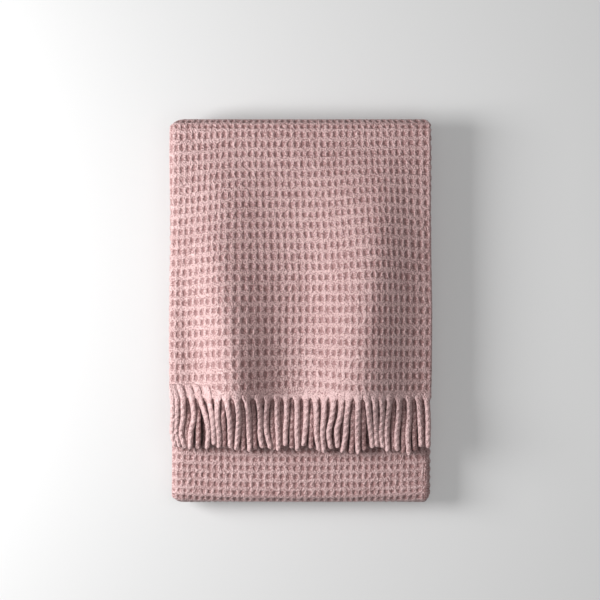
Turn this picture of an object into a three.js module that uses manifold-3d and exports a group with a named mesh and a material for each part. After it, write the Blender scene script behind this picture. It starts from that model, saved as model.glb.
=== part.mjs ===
// Folded waffle blanket: a throw of thick cotton cloth with a twisted fringe at its end.
// It is folded in half twice across its width and then laid back and forth along its length,
// in three full layers under a shorter top flap, whose fringe lies on the layer below.
//
// Millimetres, +Z up. Seen from above, +X is to the right and +Y runs to the back fold.
// The origin is on the floor, under the middle of the pile.
//
// Two folds place every point of the cloth. The first bends the cloth's width into four plies:
// a section with x across the pile and h through the stack of plies. The second carries that
// section along the cloth's length, on a path in y and z, with h measured square to the path.
import * as THREE from "three";
import Module from "manifold-3d";

const wasm = await Module();
wasm.setup();

// Cloth and plies
const CLOTH = 3.1; // thickness of the waffle cloth
const PLY_GAP = 0.5; // air between two plies
const PLY_PITCH = CLOTH + PLY_GAP;
const PLIES = 4;
const STACK = PLIES * CLOTH + (PLIES - 1) * PLY_GAP; // thickness of the four plies
const LAYER_GAP = 0.7; // air between two layers
const LAYER_PITCH = STACK + LAYER_GAP;

// Pile
const HALF_WIDTH = 162.5;
const TOP_LEVEL = 3; // layers below the flap
const BACK_FOLD_Y = 238; // outermost point of the fold under the flap
const LOW_BACK_FOLD_Y = 234; // the fold below it lies a little further in
const FRONT_FOLD_Y = -238;
const FLAP_END_Y = -104;
const HIDDEN_END_Y = -226; // plain end of the lowest layer, under the front fold
const FOLD_RADIUS = LAYER_PITCH / 2 + STACK / 2; // outside of a fold
const CORNER = 8; // rounding of the pile's four corners, seen from above
const FOLD_STEPS = 6;
const WRAP_STEPS = 4; // steps round the outer fold of the width
const TUCK_STEPS = 2; // steps round its two tight folds
const ACROSS_STEPS = 13; // steps across one ply
const WRAP_X = -HALF_WIDTH + STACK / 2; // middle of the wrap on the left
const TIGHT_X = HALF_WIDTH - CLOTH - PLY_GAP / 2; // middle of the tight fold on the right
const LAST_X = HALF_WIDTH - 7; // last of the even steps

// Fringe
const STRIP = 3; // width of the strip that holds the strands
const STRIP_GAP = 0.3;
const STRAND_RADIUS = 3;
const STRAND_FALL = 58; // how far from its root a strand reaches the layer below
const STRAND_REST = LAYER_GAP / 2 + STRAND_RADIUS; // from the layer below to the lowest strands

// Colours
const CLOTH_COLOUR = 0xb69594;
const FRINGE_COLOUR = 0x9c7a79;

// The layers from the top down, with the pile's side edges at stations along each.
const LAYERS = [
  {
    stations: [
      { y: FLAP_END_Y, left: -162.0, right: 161.5 },
      { y: -78, left: -162.7, right: 162.2 },
      { y: -44, left: -163.0, right: 162.6 },
      { y: -6, left: -162.8, right: 163.0 },
      { y: 34, left: -162.3, right: 162.4 },
      { y: 76, left: -161.8, right: 161.8 },
      { y: 118, left: -161.6, right: 161.6 },
      { y: 158, left: -161.9, right: 161.9 },
      { y: 192, left: -162.2, right: 162.0 },
      { y: BACK_FOLD_Y - FOLD_RADIUS, left: -162.0, right: 161.6 },
    ],
  },
  {
    stations: [
      { y: BACK_FOLD_Y - FOLD_RADIUS, left: -161.0, right: 161.0 },
      { y: 60, left: -160.5, right: 160.6 },
      { y: -110, left: -159.4, right: 161.4 },
      { y: -170, left: -159.6, right: 162.0 },
      { y: FRONT_FOLD_Y + FOLD_RADIUS, left: -160.2, right: 161.8 },
    ],
  },
  {
    stations: [
      { y: FRONT_FOLD_Y + FOLD_RADIUS, left: -160.6, right: 161.2 },
      { y: -20, left: -161.6, right: 160.2 },
      { y: LOW_BACK_FOLD_Y - FOLD_RADIUS, left: -160.4, right: 161.0 },
    ],
  },
  {
    stations: [
      { y: LOW_BACK_FOLD_Y - FOLD_RADIUS, left: -161.2, right: 160.4 },
      { y: -30, left: -160.6, right: 160.8 },
      { y: HIDDEN_END_Y, left: -161.4, right: 160.0 },
    ],
  },
];

// The two soft ridges of the flap, from the back to the fringe: the crest, the foot on either
// side, and the height of the crest above the layer below.
const RIDGES = [
  [
    { y: 205, left: -162, crest: -104, right: -20, height: 0 },
    { y: 143, left: -163, crest: -98, right: -20, height: 6.5 },
    { y: 87, left: -162, crest: -100, right: -15, height: 12 },
    { y: 32, left: -154, crest: -94, right: -9, height: 19 },
    { y: -43, left: -144, crest: -85, right: -9, height: 25 },
    { y: -104, left: -141, crest: -80, right: -12, height: 26 },
  ],
  [
    { y: 205, left: -20, crest: 100, right: 162, height: 0 },
    { y: 143, left: -16, crest: 95, right: 166, height: 10 },
    { y: 87, left: -8, crest: 93, right: 168, height: 17 },
    { y: 32, left: -4, crest: 87, right: 170, height: 22 },
    { y: -43, left: -3, crest: 79, right: 170, height: 26 },
    { y: -104, left: -5, crest: 75, right: 168, height: 27 },
  ],
];

// The strands of the top row from left to right: where each lies across the pile at its root, at
// about a third and two thirds of the way down and at its tip, and how long it is.
const STRANDS = [
  { root: -158.8, third: -158.4, low: -159.7, tip: -155, length: 60.3 },
  { root: -151.9, third: -151.8, low: -153.3, tip: -148.5, length: 60.3 },
  { root: -144.6, third: -144.3, low: -146.9, tip: -142.1, length: 61.6 },
  { root: -134.1, third: -131.2, low: -135, tip: -136, length: 62.8 },
  { root: -124.1, third: -116.5, low: -113.2, tip: -114.7, length: 62.8 },
  { root: -112.6, third: -109, low: -106.8, tip: -106.7, length: 57.9 },
  { root: -101.6, third: -102, low: -100.6, tip: -100.4, length: 61.6 },
  { root: -90.8, third: -87.1, low: -86.3, tip: -86, length: 61.6 },
  { root: -77.6, third: -75.4, low: -76.7, tip: -79.5, length: 64 },
  { root: -66.1, third: -63.2, low: -63.2, tip: -62.1, length: 66.5 },
  { root: -51.6, third: -49.4, low: -49.4, tip: -46.8, length: 61.6 },
  { root: -39.9, third: -42.1, low: -41.4, tip: -37, length: 62.8 },
  { root: -28.3, third: -28.6, low: -27.7, tip: -26.7, length: 65.3 },
  { root: -17.1, third: -17.2, low: -18.1, tip: -18.8, length: 59.1 },
  { root: -4.4, third: -3.8, low: -4.3, tip: -3.7, length: 65.3 },
  { root: 7.1, third: 7, low: 5.8, tip: 4.1, length: 59.1 },
  { root: 18.4, third: 19.4, low: 20.1, tip: 22.8, length: 65.3 },
  { root: 29.3, third: 28.6, low: 26.9, tip: 29.2, length: 67.7 },
  { root: 40.7, third: 38.6, low: 34.8, tip: 37.8, length: 62.8 },
  { root: 50.5, third: 48.7, low: 44.8, tip: 45.4, length: 61.6 },
  { root: 58.9, third: 56.6, low: 55.1, tip: 51.8, length: 67.7 },
  { root: 70.5, third: 69.9, low: 70.6, tip: 70.9, length: 69 },
  { root: 81.6, third: 84.1, low: 86.6, tip: 88.3, length: 61.6 },
  { root: 90.8, third: 91.8, low: 93, tip: 94.7, length: 60.3 },
  { root: 99.5, third: 100.1, low: 99.4, tip: 101.1, length: 61.6 },
  { root: 109.5, third: 107.2, low: 106, tip: 107.5, length: 66.5 },
  { root: 121.2, third: 120.4, low: 118.6, tip: 119.4, length: 65.3 },
  { root: 133.7, third: 133.6, low: 132.3, tip: 133.3, length: 70.2 },
  { root: 145.4, third: 146.9, low: 147.7, tip: 148.7, length: 60.3 },
  { root: 155.6, third: 156.7, low: 157.2, tip: 157.2, length: 61.6 },
];

// The rows of strands, one to a ply: whether they lie between the top row's, how far they follow
// its bends, and how high they lie above the lowest ones. The lower three nest in each other.
const ROWS = [
  { ply: 1, between: false, follow: 1, above: 14.2 },
  { ply: 2, between: true, follow: 0.6, above: 7.2 },
  { ply: 3, between: false, follow: 0.6, above: 3.6 },
  { ply: 4, between: true, follow: 0.6, above: 0 },
];

// The row of a table at a place along its key, with every column worked out between two rows.
function rowAt(table, key, place) {
  const rising = table[table.length - 1][key] > table[0][key];
  const at = (row) => (rising ? row[key] : -row[key]);
  const wanted = rising ? place : -place;
  let i = 0;
  while (i < table.length - 2 && wanted > at(table[i + 1])) i += 1;
  const [from, to] = [table[i], table[i + 1]];
  const share = THREE.MathUtils.clamp((wanted - at(from)) / (at(to) - at(from)), 0, 1);
  const row = {};
  for (const column of Object.keys(from)) {
    row[column] = THREE.MathUtils.lerp(from[column], to[column], share);
  }
  return row;
}

// Height of the flap above its resting place: each ridge falls from its crest to its feet in
// half a cosine, steeper near the crest on the side away from the left.
function flapHeight(x, y) {
  let height = 0;
  for (const ridge of RIDGES) {
    const row = rowAt(ridge, "y", y);
    const left = x < row.crest;
    const foot = left ? row.left : row.right;
    const share = THREE.MathUtils.clamp((x - row.crest) / (foot - row.crest), 0, 1);
    height += (row.height * (1 + Math.cos(Math.PI * share ** (left ? 1 : 0.85)))) / 2;
  }
  return height;
}

// Middle of ply number 1 (the top of the flap) to 4, measured through the stack.
function plyHeight(number) {
  return ((PLIES + 1) / 2 - number) * PLY_PITCH;
}

// Points round half a circle in the width's section, its ends left out.
function halfTurn(x, h, radius, side, steps) {
  const points = [];
  for (let i = 1; i < steps; i += 1) {
    const angle = (Math.PI * i) / steps;
    points.push({ x: x + side * radius * Math.sin(angle), h: h - radius * Math.cos(angle) });
  }
  return points;
}

// Places across the pile where every ply has a point: even steps between its folds.
function plyStations() {
  const stations = [];
  for (let i = 0; i <= ACROSS_STEPS; i += 1) {
    stations.push(THREE.MathUtils.lerp(WRAP_X, LAST_X, i / ACROSS_STEPS));
  }
  return stations;
}

// The closed outline of the width's section: along one face of the folded cloth and back along
// the other. The fourth ply starts at its open edge on the right, wraps round the left into the
// first ply, turns tightly on the right into the second, and on the left into the third.
function widthOutline() {
  const stations = plyStations();
  const half = CLOTH / 2;
  const face = (offset) => {
    const ply = (number, xs) =>
      xs.map((x) => ({ x, h: plyHeight(number) + (number % 2 ? offset : -offset) }));
    const leftwards = [...stations].reverse();
    return [
      ...ply(4, [HALF_WIDTH - 4.5, ...leftwards]),
      ...halfTurn(WRAP_X, 0, 1.5 * PLY_PITCH + offset, -1, WRAP_STEPS),
      ...ply(1, [...stations, TIGHT_X]),
      ...halfTurn(TIGHT_X, plyHeight(1.5), PLY_PITCH / 2 + offset, 1, TUCK_STEPS).reverse(),
      ...ply(2, [TIGHT_X, ...leftwards]),
      ...halfTurn(WRAP_X, 0, PLY_PITCH / 2 - offset, -1, TUCK_STEPS).reverse(),
      ...ply(3, [...stations, HALF_WIDTH - 2]),
    ];
  };
  return [...face(half), ...face(-half).reverse()];
}

// One place along the cloth's length: a point of the path, the direction of h there, how far the
// corners are drawn in, and the side edges.
function place(y, z, facing, drawn, { left, right }) {
  return { y, z, facing, drawn, left, right };
}

const layerZ = (index) => STACK / 2 + (TOP_LEVEL - index) * LAYER_PITCH;

// The fold from one layer to the next: half a turn, with the corners rounded off.
function foldPlaces(index) {
  const from = LAYERS[index].stations.at(-1);
  const to = LAYERS[index + 1].stations[0];
  const outward = index % 2 ? -1 : 1;
  const middleZ = (layerZ(index) + layerZ(index + 1)) / 2;
  const places = [];
  for (let i = 1; i < FOLD_STEPS; i += 1) {
    const angle = (Math.PI * i) / FOLD_STEPS;
    const reach = FOLD_RADIUS * Math.sin(angle) - (FOLD_RADIUS - CORNER);
    const drawn = CORNER - Math.sqrt(CORNER ** 2 - Math.max(reach, 0) ** 2);
    const radius = LAYER_PITCH / 2;
    const edges = {
      left: THREE.MathUtils.lerp(from.left, to.left, i / FOLD_STEPS),
      right: THREE.MathUtils.lerp(from.right, to.right, i / FOLD_STEPS),
    };
    const y = from.y + outward * radius * Math.sin(angle);
    const z = middleZ + radius * Math.cos(angle);
    const facing = { y: Math.sin(angle), z: outward * Math.cos(angle) };
    places.push(place(y, z, facing, drawn, edges));
  }
  return places;
}

// The whole path of the cloth's length, from the flap's end to the hidden end.
function lengthPlaces() {
  const places = [];
  LAYERS.forEach(({ stations }, index) => {
    const facing = { y: 0, z: index % 2 ? -1 : 1 };
    for (const station of stations) {
      places.push(place(station.y, layerZ(index), facing, 0, station));
    }
    if (index < LAYERS.length - 1) places.push(...foldPlaces(index));
  });
  return places;
}

// A point of the section carried to its place along the cloth.
function carried({ x, h }, { y, z, facing, drawn, left, right }) {
  const share = (x + HALF_WIDTH) / (2 * HALF_WIDTH);
  const across = THREE.MathUtils.lerp(left + drawn, right - drawn, share);
  const along = y + h * facing.y;
  const onFlap = z > layerZ(1) + LAYER_PITCH / 2 && facing.y === 0;
  const up = z + h * facing.z + (onFlap ? flapHeight(across, along) : 0);
  return new THREE.Vector3(across, along, up);
}

// A closed solid through a row of closed rings with equal numbers of points. Each end is closed
// by strips between the two halves of its ring, so the ring may be any folded ribbon.
function solidThroughRings(rings) {
  const size = rings[0].length;
  const positions = rings.flat().flatMap((p) => [p.x, p.y, p.z]);
  const faces = [];
  const quad = (a, b, c, d) => faces.push(a, b, c, a, c, d);
  for (let r = 0; r < rings.length - 1; r += 1) {
    for (let i = 0; i < size; i += 1) {
      const j = (i + 1) % size;
      quad(r * size + i, r * size + j, (r + 1) * size + j, (r + 1) * size + i);
    }
  }
  const last = (rings.length - 1) * size;
  for (let i = 0; i < size / 2 - 1; i += 1) {
    const [a, b, c, d] = [i, i + 1, size - 2 - i, size - 1 - i];
    quad(d, c, b, a);
    quad(last + a, last + b, last + c, last + d);
  }
  const geometry = new THREE.BufferGeometry();
  geometry.setAttribute("position", new THREE.Float32BufferAttribute(positions, 3));
  geometry.setIndex(faces);
  return geometry;
}

// Lift and slope of the flap's end at a place across it, on the flat facet between two stations.
function flapEnd(x) {
  const end = place(FLAP_END_Y, layerZ(0), { y: 0, z: 1 }, 0, LAYERS[0].stations[0]);
  const stations = [-HALF_WIDTH, ...plyStations(), TIGHT_X];
  const line = stations.map((station) => carried({ x: station, h: 0 }, end));
  const passed = line.filter((point) => point.x < x).length;
  const next = THREE.MathUtils.clamp(passed, 1, line.length - 1);
  const [from, to] = [line[next - 1], line[next]];
  const slope = (to.z - from.z) / (to.x - from.x);
  return { lift: from.z + slope * (x - from.x) - layerZ(0), slope };
}

// The strands of one row: the top row's own, or the means of its neighbours.
function strandsOf({ between, follow }) {
  const top = between ? STRANDS.slice(1).map((right, i) => meanOf(STRANDS[i], right)) : STRANDS;
  return top.map(({ root, third, low, tip, length }) => {
    const bent = (x) => root + follow * (x - root);
    return { root, third: bent(third), low: bent(low), tip: bent(tip), length };
  });
}

function meanOf(first, second) {
  const mean = {};
  for (const column of Object.keys(first)) mean[column] = (first[column] + second[column]) / 2;
  return mean;
}

// One strand of the fringe: four-sided, wide and flat where it leaves the cloth, falling from
// the flap's end to its row's height above the layer below. Its sides lean with the flap's slope.
function strandRings({ root, third, low, tip, length }, { ply, above }) {
  const rootY = FLAP_END_Y - STRIP_GAP - STRIP * 0.85;
  const rootZ = layerZ(0) + plyHeight(ply);
  const rise = layerZ(1) + STACK / 2 + STRAND_REST + above - rootZ;
  const profile = [
    { along: 0, x: root, wide: 1.12, tall: 0.4 },
    { along: 0.12, x: THREE.MathUtils.lerp(root, third, 0.34), wide: 1, tall: 1 },
    { along: 0.35, x: third, wide: 1, tall: 1 },
    { along: 0.68, x: low, wide: 1, tall: 1 },
    { along: 0.93, x: THREE.MathUtils.lerp(low, tip, 0.78), wide: 0.95, tall: 0.95 },
    { along: 1, x: tip, wide: 0.5, tall: 0.5 },
  ];
  return profile.map(({ along, x, wide, tall }) => {
    const down = length * along;
    const { lift, slope } = flapEnd(x);
    const fall = 1 - THREE.MathUtils.smoothstep(down, 0, STRAND_FALL);
    const y = rootY - down;
    const z = rootZ + lift * fall + rise * Math.min(1, along / 0.12);
    const half = STRAND_RADIUS * wide;
    const lean = half * slope * fall;
    return [
      new THREE.Vector3(x - half, y, z - lean),
      new THREE.Vector3(x, y, z - STRAND_RADIUS * tall),
      new THREE.Vector3(x + half, y, z + lean),
      new THREE.Vector3(x, y, z + STRAND_RADIUS * tall),
    ];
  });
}

function manifoldOf(geometry) {
  return new wasm.Manifold(
    new wasm.Mesh({
      numProp: 3,
      vertProperties: geometry.getAttribute("position").array,
      triVerts: new Uint32Array(geometry.index.array),
    }),
  );
}

// The strip along the cloth's end, folded with it, and every strand rooted in it, in one solid.
function fringeGeometry(outline) {
  const { left, right } = LAYERS[0].stations[0];
  const facing = { y: 0, z: 1 };
  const rings = [FLAP_END_Y - STRIP_GAP - STRIP, FLAP_END_Y - STRIP_GAP].map((y) =>
    outline.map((point) => carried(point, place(y, layerZ(0), facing, 0, { left, right }))),
  );
  const pieces = [manifoldOf(solidThroughRings(rings))];
  for (const row of ROWS) {
    for (const strand of strandsOf(row)) {
      pieces.push(manifoldOf(solidThroughRings(strandRings(strand, row))));
    }
  }
  const joined = wasm.Manifold.union(pieces).getMesh();
  const geometry = new THREE.BufferGeometry();
  geometry.setAttribute("position", new THREE.BufferAttribute(joined.vertProperties, 3));
  geometry.setIndex(new THREE.BufferAttribute(joined.triVerts, 1));
  return geometry;
}

const outline = widthOutline();
const blanketRings = lengthPlaces().map((spot) => outline.map((point) => carried(point, spot)));

const blanket = new THREE.Mesh(
  solidThroughRings(blanketRings),
  new THREE.MeshStandardMaterial({ color: CLOTH_COLOUR, roughness: 0.95, metalness: 0 }),
);
blanket.name = "blanket";

const fringe = new THREE.Mesh(
  fringeGeometry(outline),
  new THREE.MeshStandardMaterial({ color: FRINGE_COLOUR, roughness: 0.95, metalness: 0 }),
);
fringe.name = "fringe";

const root = new THREE.Group();
root.add(blanket, fringe);

export default root;
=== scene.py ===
# %% [markdown]
# # A folded waffle blanket
# The blanket is one length of thick cotton cloth. It is folded in half twice across its width and
# then laid back and forth along its length, and its end lies on top with a twisted fringe. A fold
# could be simulated, but a simulation never lands twice in the same place. So every surface here is
# a formula on a grid of numbers: first where the cloth lies, then the small hollows of the weave,
# then the ropes of the fringe. Sizes are in millimetres until a mesh is made.

import bpy
import numpy as np
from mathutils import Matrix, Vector


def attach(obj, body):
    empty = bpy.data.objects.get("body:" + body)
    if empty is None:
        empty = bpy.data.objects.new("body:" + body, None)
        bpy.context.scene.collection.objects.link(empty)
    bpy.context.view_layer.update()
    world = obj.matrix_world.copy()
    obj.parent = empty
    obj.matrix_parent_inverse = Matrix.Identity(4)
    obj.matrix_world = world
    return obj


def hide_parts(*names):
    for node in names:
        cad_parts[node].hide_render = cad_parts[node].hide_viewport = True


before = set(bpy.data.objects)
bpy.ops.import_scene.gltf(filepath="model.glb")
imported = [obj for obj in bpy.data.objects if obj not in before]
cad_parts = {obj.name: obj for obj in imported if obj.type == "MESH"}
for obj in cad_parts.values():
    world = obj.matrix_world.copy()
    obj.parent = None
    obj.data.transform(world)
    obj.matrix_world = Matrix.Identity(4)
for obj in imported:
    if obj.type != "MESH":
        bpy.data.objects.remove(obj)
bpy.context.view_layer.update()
print("nodes:", sorted(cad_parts))

# %% [markdown]
# ## Sizes of the fold
# These are the sizes that the solids were made from: the cloth's thickness, the air between two
# plies and two layers, and where each fold lies. Written as sums of each other, they can't drift
# apart when one of them changes.

# %% Sizes
CLOTH = 3.1
PLY_GAP = 0.5
LAYER_GAP = 0.7
PLY_PITCH = CLOTH + PLY_GAP
STACK = 4 * CLOTH + 3 * PLY_GAP
LAYER_PITCH = STACK + LAYER_GAP
FOLD_RADIUS = (LAYER_PITCH + STACK) / 2
HALF_WIDTH = 162.5
BACK_CORNER = 8.0
FRONT_CORNER = 3.5
BACK_FOLD_Y = 238.0
LOW_BACK_FOLD_Y = 234.0
FRONT_FOLD_Y = -238.0
FLAP_END_Y = -104.0
HIDDEN_END_Y = -226.0
print("four plies are", STACK, "mm thick, and a fold is", 2 * FOLD_RADIUS, "mm high")

# The side edges of the pile along each layer, from the top layer down: y, left and right.
EDGES = [
    [
        (-104, -162.0, 161.5),
        (-78, -162.7, 162.2),
        (-44, -163.0, 162.6),
        (-6, -162.8, 163.0),
        (34, -162.3, 162.4),
        (76, -161.8, 161.8),
        (118, -161.6, 161.6),
        (158, -161.9, 161.9),
        (192, -162.2, 162.0),
        (223.75, -162.0, 161.6),
    ],
    [
        (-223.75, -160.2, 161.8),
        (-170, -159.6, 162.0),
        (-110, -159.4, 161.4),
        (60, -160.5, 160.6),
        (223.75, -161.0, 161.0),
    ],
    [(-223.75, -160.6, 161.2), (-20, -161.6, 160.2), (219.75, -160.4, 161.0)],
    [(-226, -161.4, 160.0), (-30, -160.6, 160.8), (219.75, -161.2, 160.4)],
]

# The two soft ridges of the flap: y, left foot, crest, right foot and height. They grow from
# nothing at the back fold to their full height at the fringe.
RIDGES = [
    [
        (-104, -141, -80, -12, 26),
        (-43, -144, -85, -9, 25),
        (32, -154, -94, -9, 19),
        (87, -162, -100, -15, 12),
        (143, -163, -98, -20, 6.5),
        (205, -162, -104, -20, 0),
    ],
    [
        (-104, -5, 75, 168, 27),
        (-43, -3, 79, 170, 26),
        (32, -4, 87, 170, 22),
        (87, -8, 93, 168, 17),
        (143, -16, 95, 166, 10),
        (205, -20, 100, 162, 0),
    ],
]


# %% [markdown]
# ## A line that carries its direction
# The fold across and the fold along are the same kind of thing: a line of straights and half
# turns, with a direction beside it that says which way is out of the cloth. A curve object could
# hold such a line, but numpy reads a whole grid of places from it at once. A track keeps the line
# at many close points with its length, and any place along it comes back by interpolation.

# %% Tracks and interpolation
def smooth_row(x, xs, ys):
    """Values between table rows: a cubic between neighbours whose slopes are the mean of the two
    chords beside each row, and zero where those chords turn, so nothing overshoots."""
    xs, ys = np.asarray(xs, float), np.asarray(ys, float)
    chord = np.diff(ys) / np.diff(xs)
    inner = np.where(chord[:-1] * chord[1:] > 0, (chord[:-1] + chord[1:]) / 2, 0)
    slope = np.concatenate([chord[:1], inner, chord[-1:]])
    x = np.clip(x, xs[0], xs[-1])
    i = np.clip(np.searchsorted(xs, x) - 1, 0, len(xs) - 2)
    wide = xs[i + 1] - xs[i]
    t = (x - xs[i]) / wide
    return (
        ys[i] * (1 + 2 * t) * (1 - t) ** 2
        + ys[i + 1] * t**2 * (3 - 2 * t)
        + wide * slope[i] * t * (1 - t) ** 2
        - wide * slope[i + 1] * t**2 * (1 - t)
    )


def smooth_step(x, low, high):
    """0 below low, 1 above high, and 3t^2 - 2t^3 between."""
    t = np.clip((x - low) / (high - low), 0, 1)
    return t * t * (3 - 2 * t)


def straight(start, end, facing, steps=80):
    """Points from start to end with one facing direction."""
    t = np.linspace(0, 1, steps)[:, None]
    points = np.array(start) * (1 - t) + np.array(end) * t
    return points, np.tile(np.array(facing, float), (steps, 1))


def half_turn(centre, radius, start, end, inward=False, wide=None, steps=65):
    """Points on a circle, or on an ellipse with its own half width, between two angles in
    degrees: the centre plus the half axes times cosine and sine. They face away from the centre or
    to it, along the cosine and sine over the half axes."""
    angle = np.radians(np.linspace(start, end, steps))
    half_axes = np.array([radius if wide is None else wide, radius])
    spoke = np.stack([np.cos(angle), np.sin(angle)], axis=1)
    normal = spoke / half_axes
    normal = normal / np.linalg.norm(normal, axis=1)[:, None]
    return np.array(centre) + half_axes * spoke, -normal if inward else normal


class Track:
    """A line of straights and turns, read by its length."""

    def __init__(self, parts, start=0.0):
        self.points = np.vstack([points for points, facing in parts])
        self.facing = np.vstack([facing for points, facing in parts])
        steps = np.linalg.norm(np.diff(self.points, axis=0), axis=1)
        self.length = start + np.concatenate([[0], np.cumsum(steps)])
        ends = np.cumsum([len(points) for points, facing in parts]) - 1
        self.joints = self.length[ends]

    def at(self, place):
        """Position and facing at any places along the line, by interpolation between its points."""
        columns = [self.points[:, 0], self.points[:, 1], self.facing[:, 0], self.facing[:, 1]]
        return [np.interp(place, self.length, column) for column in columns]


# %% [markdown]
# ## The width, folded into four plies
# Seen from the fringe, the cloth's width starts at an open edge on the right as the lowest ply,
# wraps round the left edge into the top ply, turns tightly on the right and again on the left,
# and ends on the right as the third ply. The facing direction is always the same face of the
# cloth, so the whole outside of the pile is that one face. The wrap on the left is a half ellipse,
# wider than high, because three plies are pushed into it.

# %% The width
WRAP_WIDE = 12.0
WRAP_X = -HALF_WIDTH + CLOTH / 2 + WRAP_WIDE
TUCK_X = WRAP_X - 1
TIGHT_X = HALF_WIDTH - CLOTH - PLY_GAP / 2
LOW_EDGE_X = HALF_WIDTH - 4.5
THIRD_EDGE_X = HALF_WIDTH - 2
LOW, SECOND, THIRD, TOP = -1.5 * PLY_PITCH, 0.5 * PLY_PITCH, -0.5 * PLY_PITCH, 1.5 * PLY_PITCH
width = Track(
    [
        straight((LOW_EDGE_X, LOW), (WRAP_X, LOW), (0, -1)),
        half_turn((WRAP_X, 0), TOP, 270, 90, wide=WRAP_WIDE),
        straight((WRAP_X, TOP), (TIGHT_X, TOP), (0, 1)),
        half_turn((TIGHT_X, PLY_PITCH), PLY_PITCH / 2, 90, -90),
        straight((TIGHT_X, SECOND), (TUCK_X, SECOND), (0, -1)),
        half_turn((TUCK_X, 0), PLY_PITCH / 2, 90, 270, inward=True),
        straight((TUCK_X, THIRD), (THIRD_EDGE_X, THIRD), (0, 1)),
    ]
)
WIDTH_MM = width.length[-1]
LOW_END, WRAP_END, TOP_END, TIGHT_END = width.joints[:4]
print("the cloth is", round(WIDTH_MM), "mm wide")

# %% [markdown]
# ## The length, laid back and forth
# The second track runs from the fringe to the back, round the back fold, and so on down the pile.
# It starts a little before the cloth's end, where the fringe is rooted. Both tracks together place
# every point of the flat cloth, so one function folds the cloth, its weave and the fringe's roots.

# %% The length
LAYER_Z = [STACK / 2 + LAYER_PITCH * level for level in (3, 2, 1, 0)]
BACK = BACK_FOLD_Y - FOLD_RADIUS
FRONT = FRONT_FOLD_Y + FOLD_RADIUS
LOW_BACK = LOW_BACK_FOLD_Y - FOLD_RADIUS
BEFORE = 8.0


def between(upper):
    """Height of the middle of the fold below one layer."""
    return (LAYER_Z[upper] + LAYER_Z[upper + 1]) / 2


length = Track(
    [
        straight((FLAP_END_Y - BEFORE, LAYER_Z[0]), (BACK, LAYER_Z[0]), (0, 1)),
        half_turn((BACK, between(0)), LAYER_PITCH / 2, 90, -90),
        straight((BACK, LAYER_Z[1]), (FRONT, LAYER_Z[1]), (0, -1)),
        half_turn((FRONT, between(1)), LAYER_PITCH / 2, 90, 270, inward=True),
        straight((FRONT, LAYER_Z[2]), (LOW_BACK, LAYER_Z[2]), (0, 1)),
        half_turn((LOW_BACK, between(2)), LAYER_PITCH / 2, 90, -90),
        straight((LOW_BACK, LAYER_Z[3]), (HIDDEN_END_Y, LAYER_Z[3]), (0, -1)),
    ],
    start=-BEFORE,
)
LENGTH_MM = length.length[-1]
FLAP_END, BACK_END, SECOND_LAYER_END, FRONT_END, THIRD_LAYER_END, LOW_BACK_END = length.joints[:6]
print("the cloth is", round(LENGTH_MM), "mm long without its fringe")


def side_edges(along):
    """Left and right edge of the pile at a place along the cloth. On a layer they come from its
    table, in a fold they go evenly from one layer to the next, and at a fold's outermost part
    they draw in on a quarter circle, which rounds the pile's corners."""
    sides = []
    for column in (1, 2):
        place, value = [], []
        starts = [-BEFORE, BACK_END, FRONT_END, LOW_BACK_END]
        ends = [FLAP_END, SECOND_LAYER_END, THIRD_LAYER_END, LENGTH_MM]
        for index, rows in enumerate(EDGES):
            ys = np.array([row[0] for row in rows], float)
            lasting = ends[index] - starts[index]
            here = starts[index] + np.linspace(0, 1, 60) * lasting
            y = length.at(here)[0]
            place.append(here)
            value.append(smooth_row(y, ys, [row[column] for row in rows]))
        sides.append(np.interp(along, np.concatenate(place), np.concatenate(value)))
    folds = [
        (FLAP_END, BACK_END, BACK_CORNER),
        (SECOND_LAYER_END, FRONT_END, FRONT_CORNER),
        (THIRD_LAYER_END, LOW_BACK_END, BACK_CORNER),
    ]
    drawn = 0
    for first, last, corner in folds:
        turned = np.pi * np.clip((along - first) / (last - first), 0, 1)
        reach = np.maximum(FOLD_RADIUS * np.sin(turned) - (FOLD_RADIUS - corner), 0)
        drawn = drawn + corner - np.sqrt(corner**2 - np.minimum(reach, corner) ** 2)
    return sides[0] + drawn, sides[1] - drawn


def flap_height(x, y):
    """How far the flap stands above the layer below it: for each ridge, its height times half of
    one plus the cosine of the way from crest to foot, steeper beyond the crest."""
    height = 0
    for rows in RIDGES:
        ys = [row[0] for row in rows]
        left, crest, right, top = [
            smooth_row(y, ys, [row[i] for row in rows]) for i in (1, 2, 3, 4)
        ]
        foot = np.where(x < crest, left, right)
        share = np.clip((x - crest) / (foot - crest), 0, 1)
        share = np.where(x < crest, share, share**0.85)
        height = height + top * (1 + np.cos(np.pi * share)) / 2
    return height


def cloth_point(across, along, out):
    """Where a point of the cloth lies. across and along are lengths in the flat cloth, out is how
    far it stands off the middle of the cloth. The width's fold gives x and a height through the
    plies, and the length's fold carries that height to y and z. The flap then rises on its
    ridges."""
    x, h, x_facing, h_facing = width.at(across)
    y, z, y_facing, z_facing = length.at(along)
    x = x + x_facing * out
    h = h + h_facing * out
    left, right = side_edges(along)
    x = left + (x + HALF_WIDTH) / (2 * HALF_WIDTH) * (right - left)
    y = y + h * y_facing
    z = z + h * z_facing
    z = z + np.where(along <= FLAP_END, flap_height(x, y), 0)
    return np.stack([x, y, z], axis=-1)


# %% [markdown]
# ## Waffle cells
# Waffle weave lets yarns float longer and longer over a cell, so its middle sinks and its four
# sides stand up as ridges. On the blanket each cell is a soft oval hollow, taller than wide. The
# cells could be copies of one modelled cell, but they would break at the folds and couldn't drift.
# Instead a column number and a row number count them, whole at the middle of each hollow, as smooth
# functions of the place in the cloth. The rows aren't even: on the flap they lean and drift with
# the ridges, and on the layer below they sag in the middle.

# %% Counting the cells
COLUMN_MM = 8.0
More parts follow.
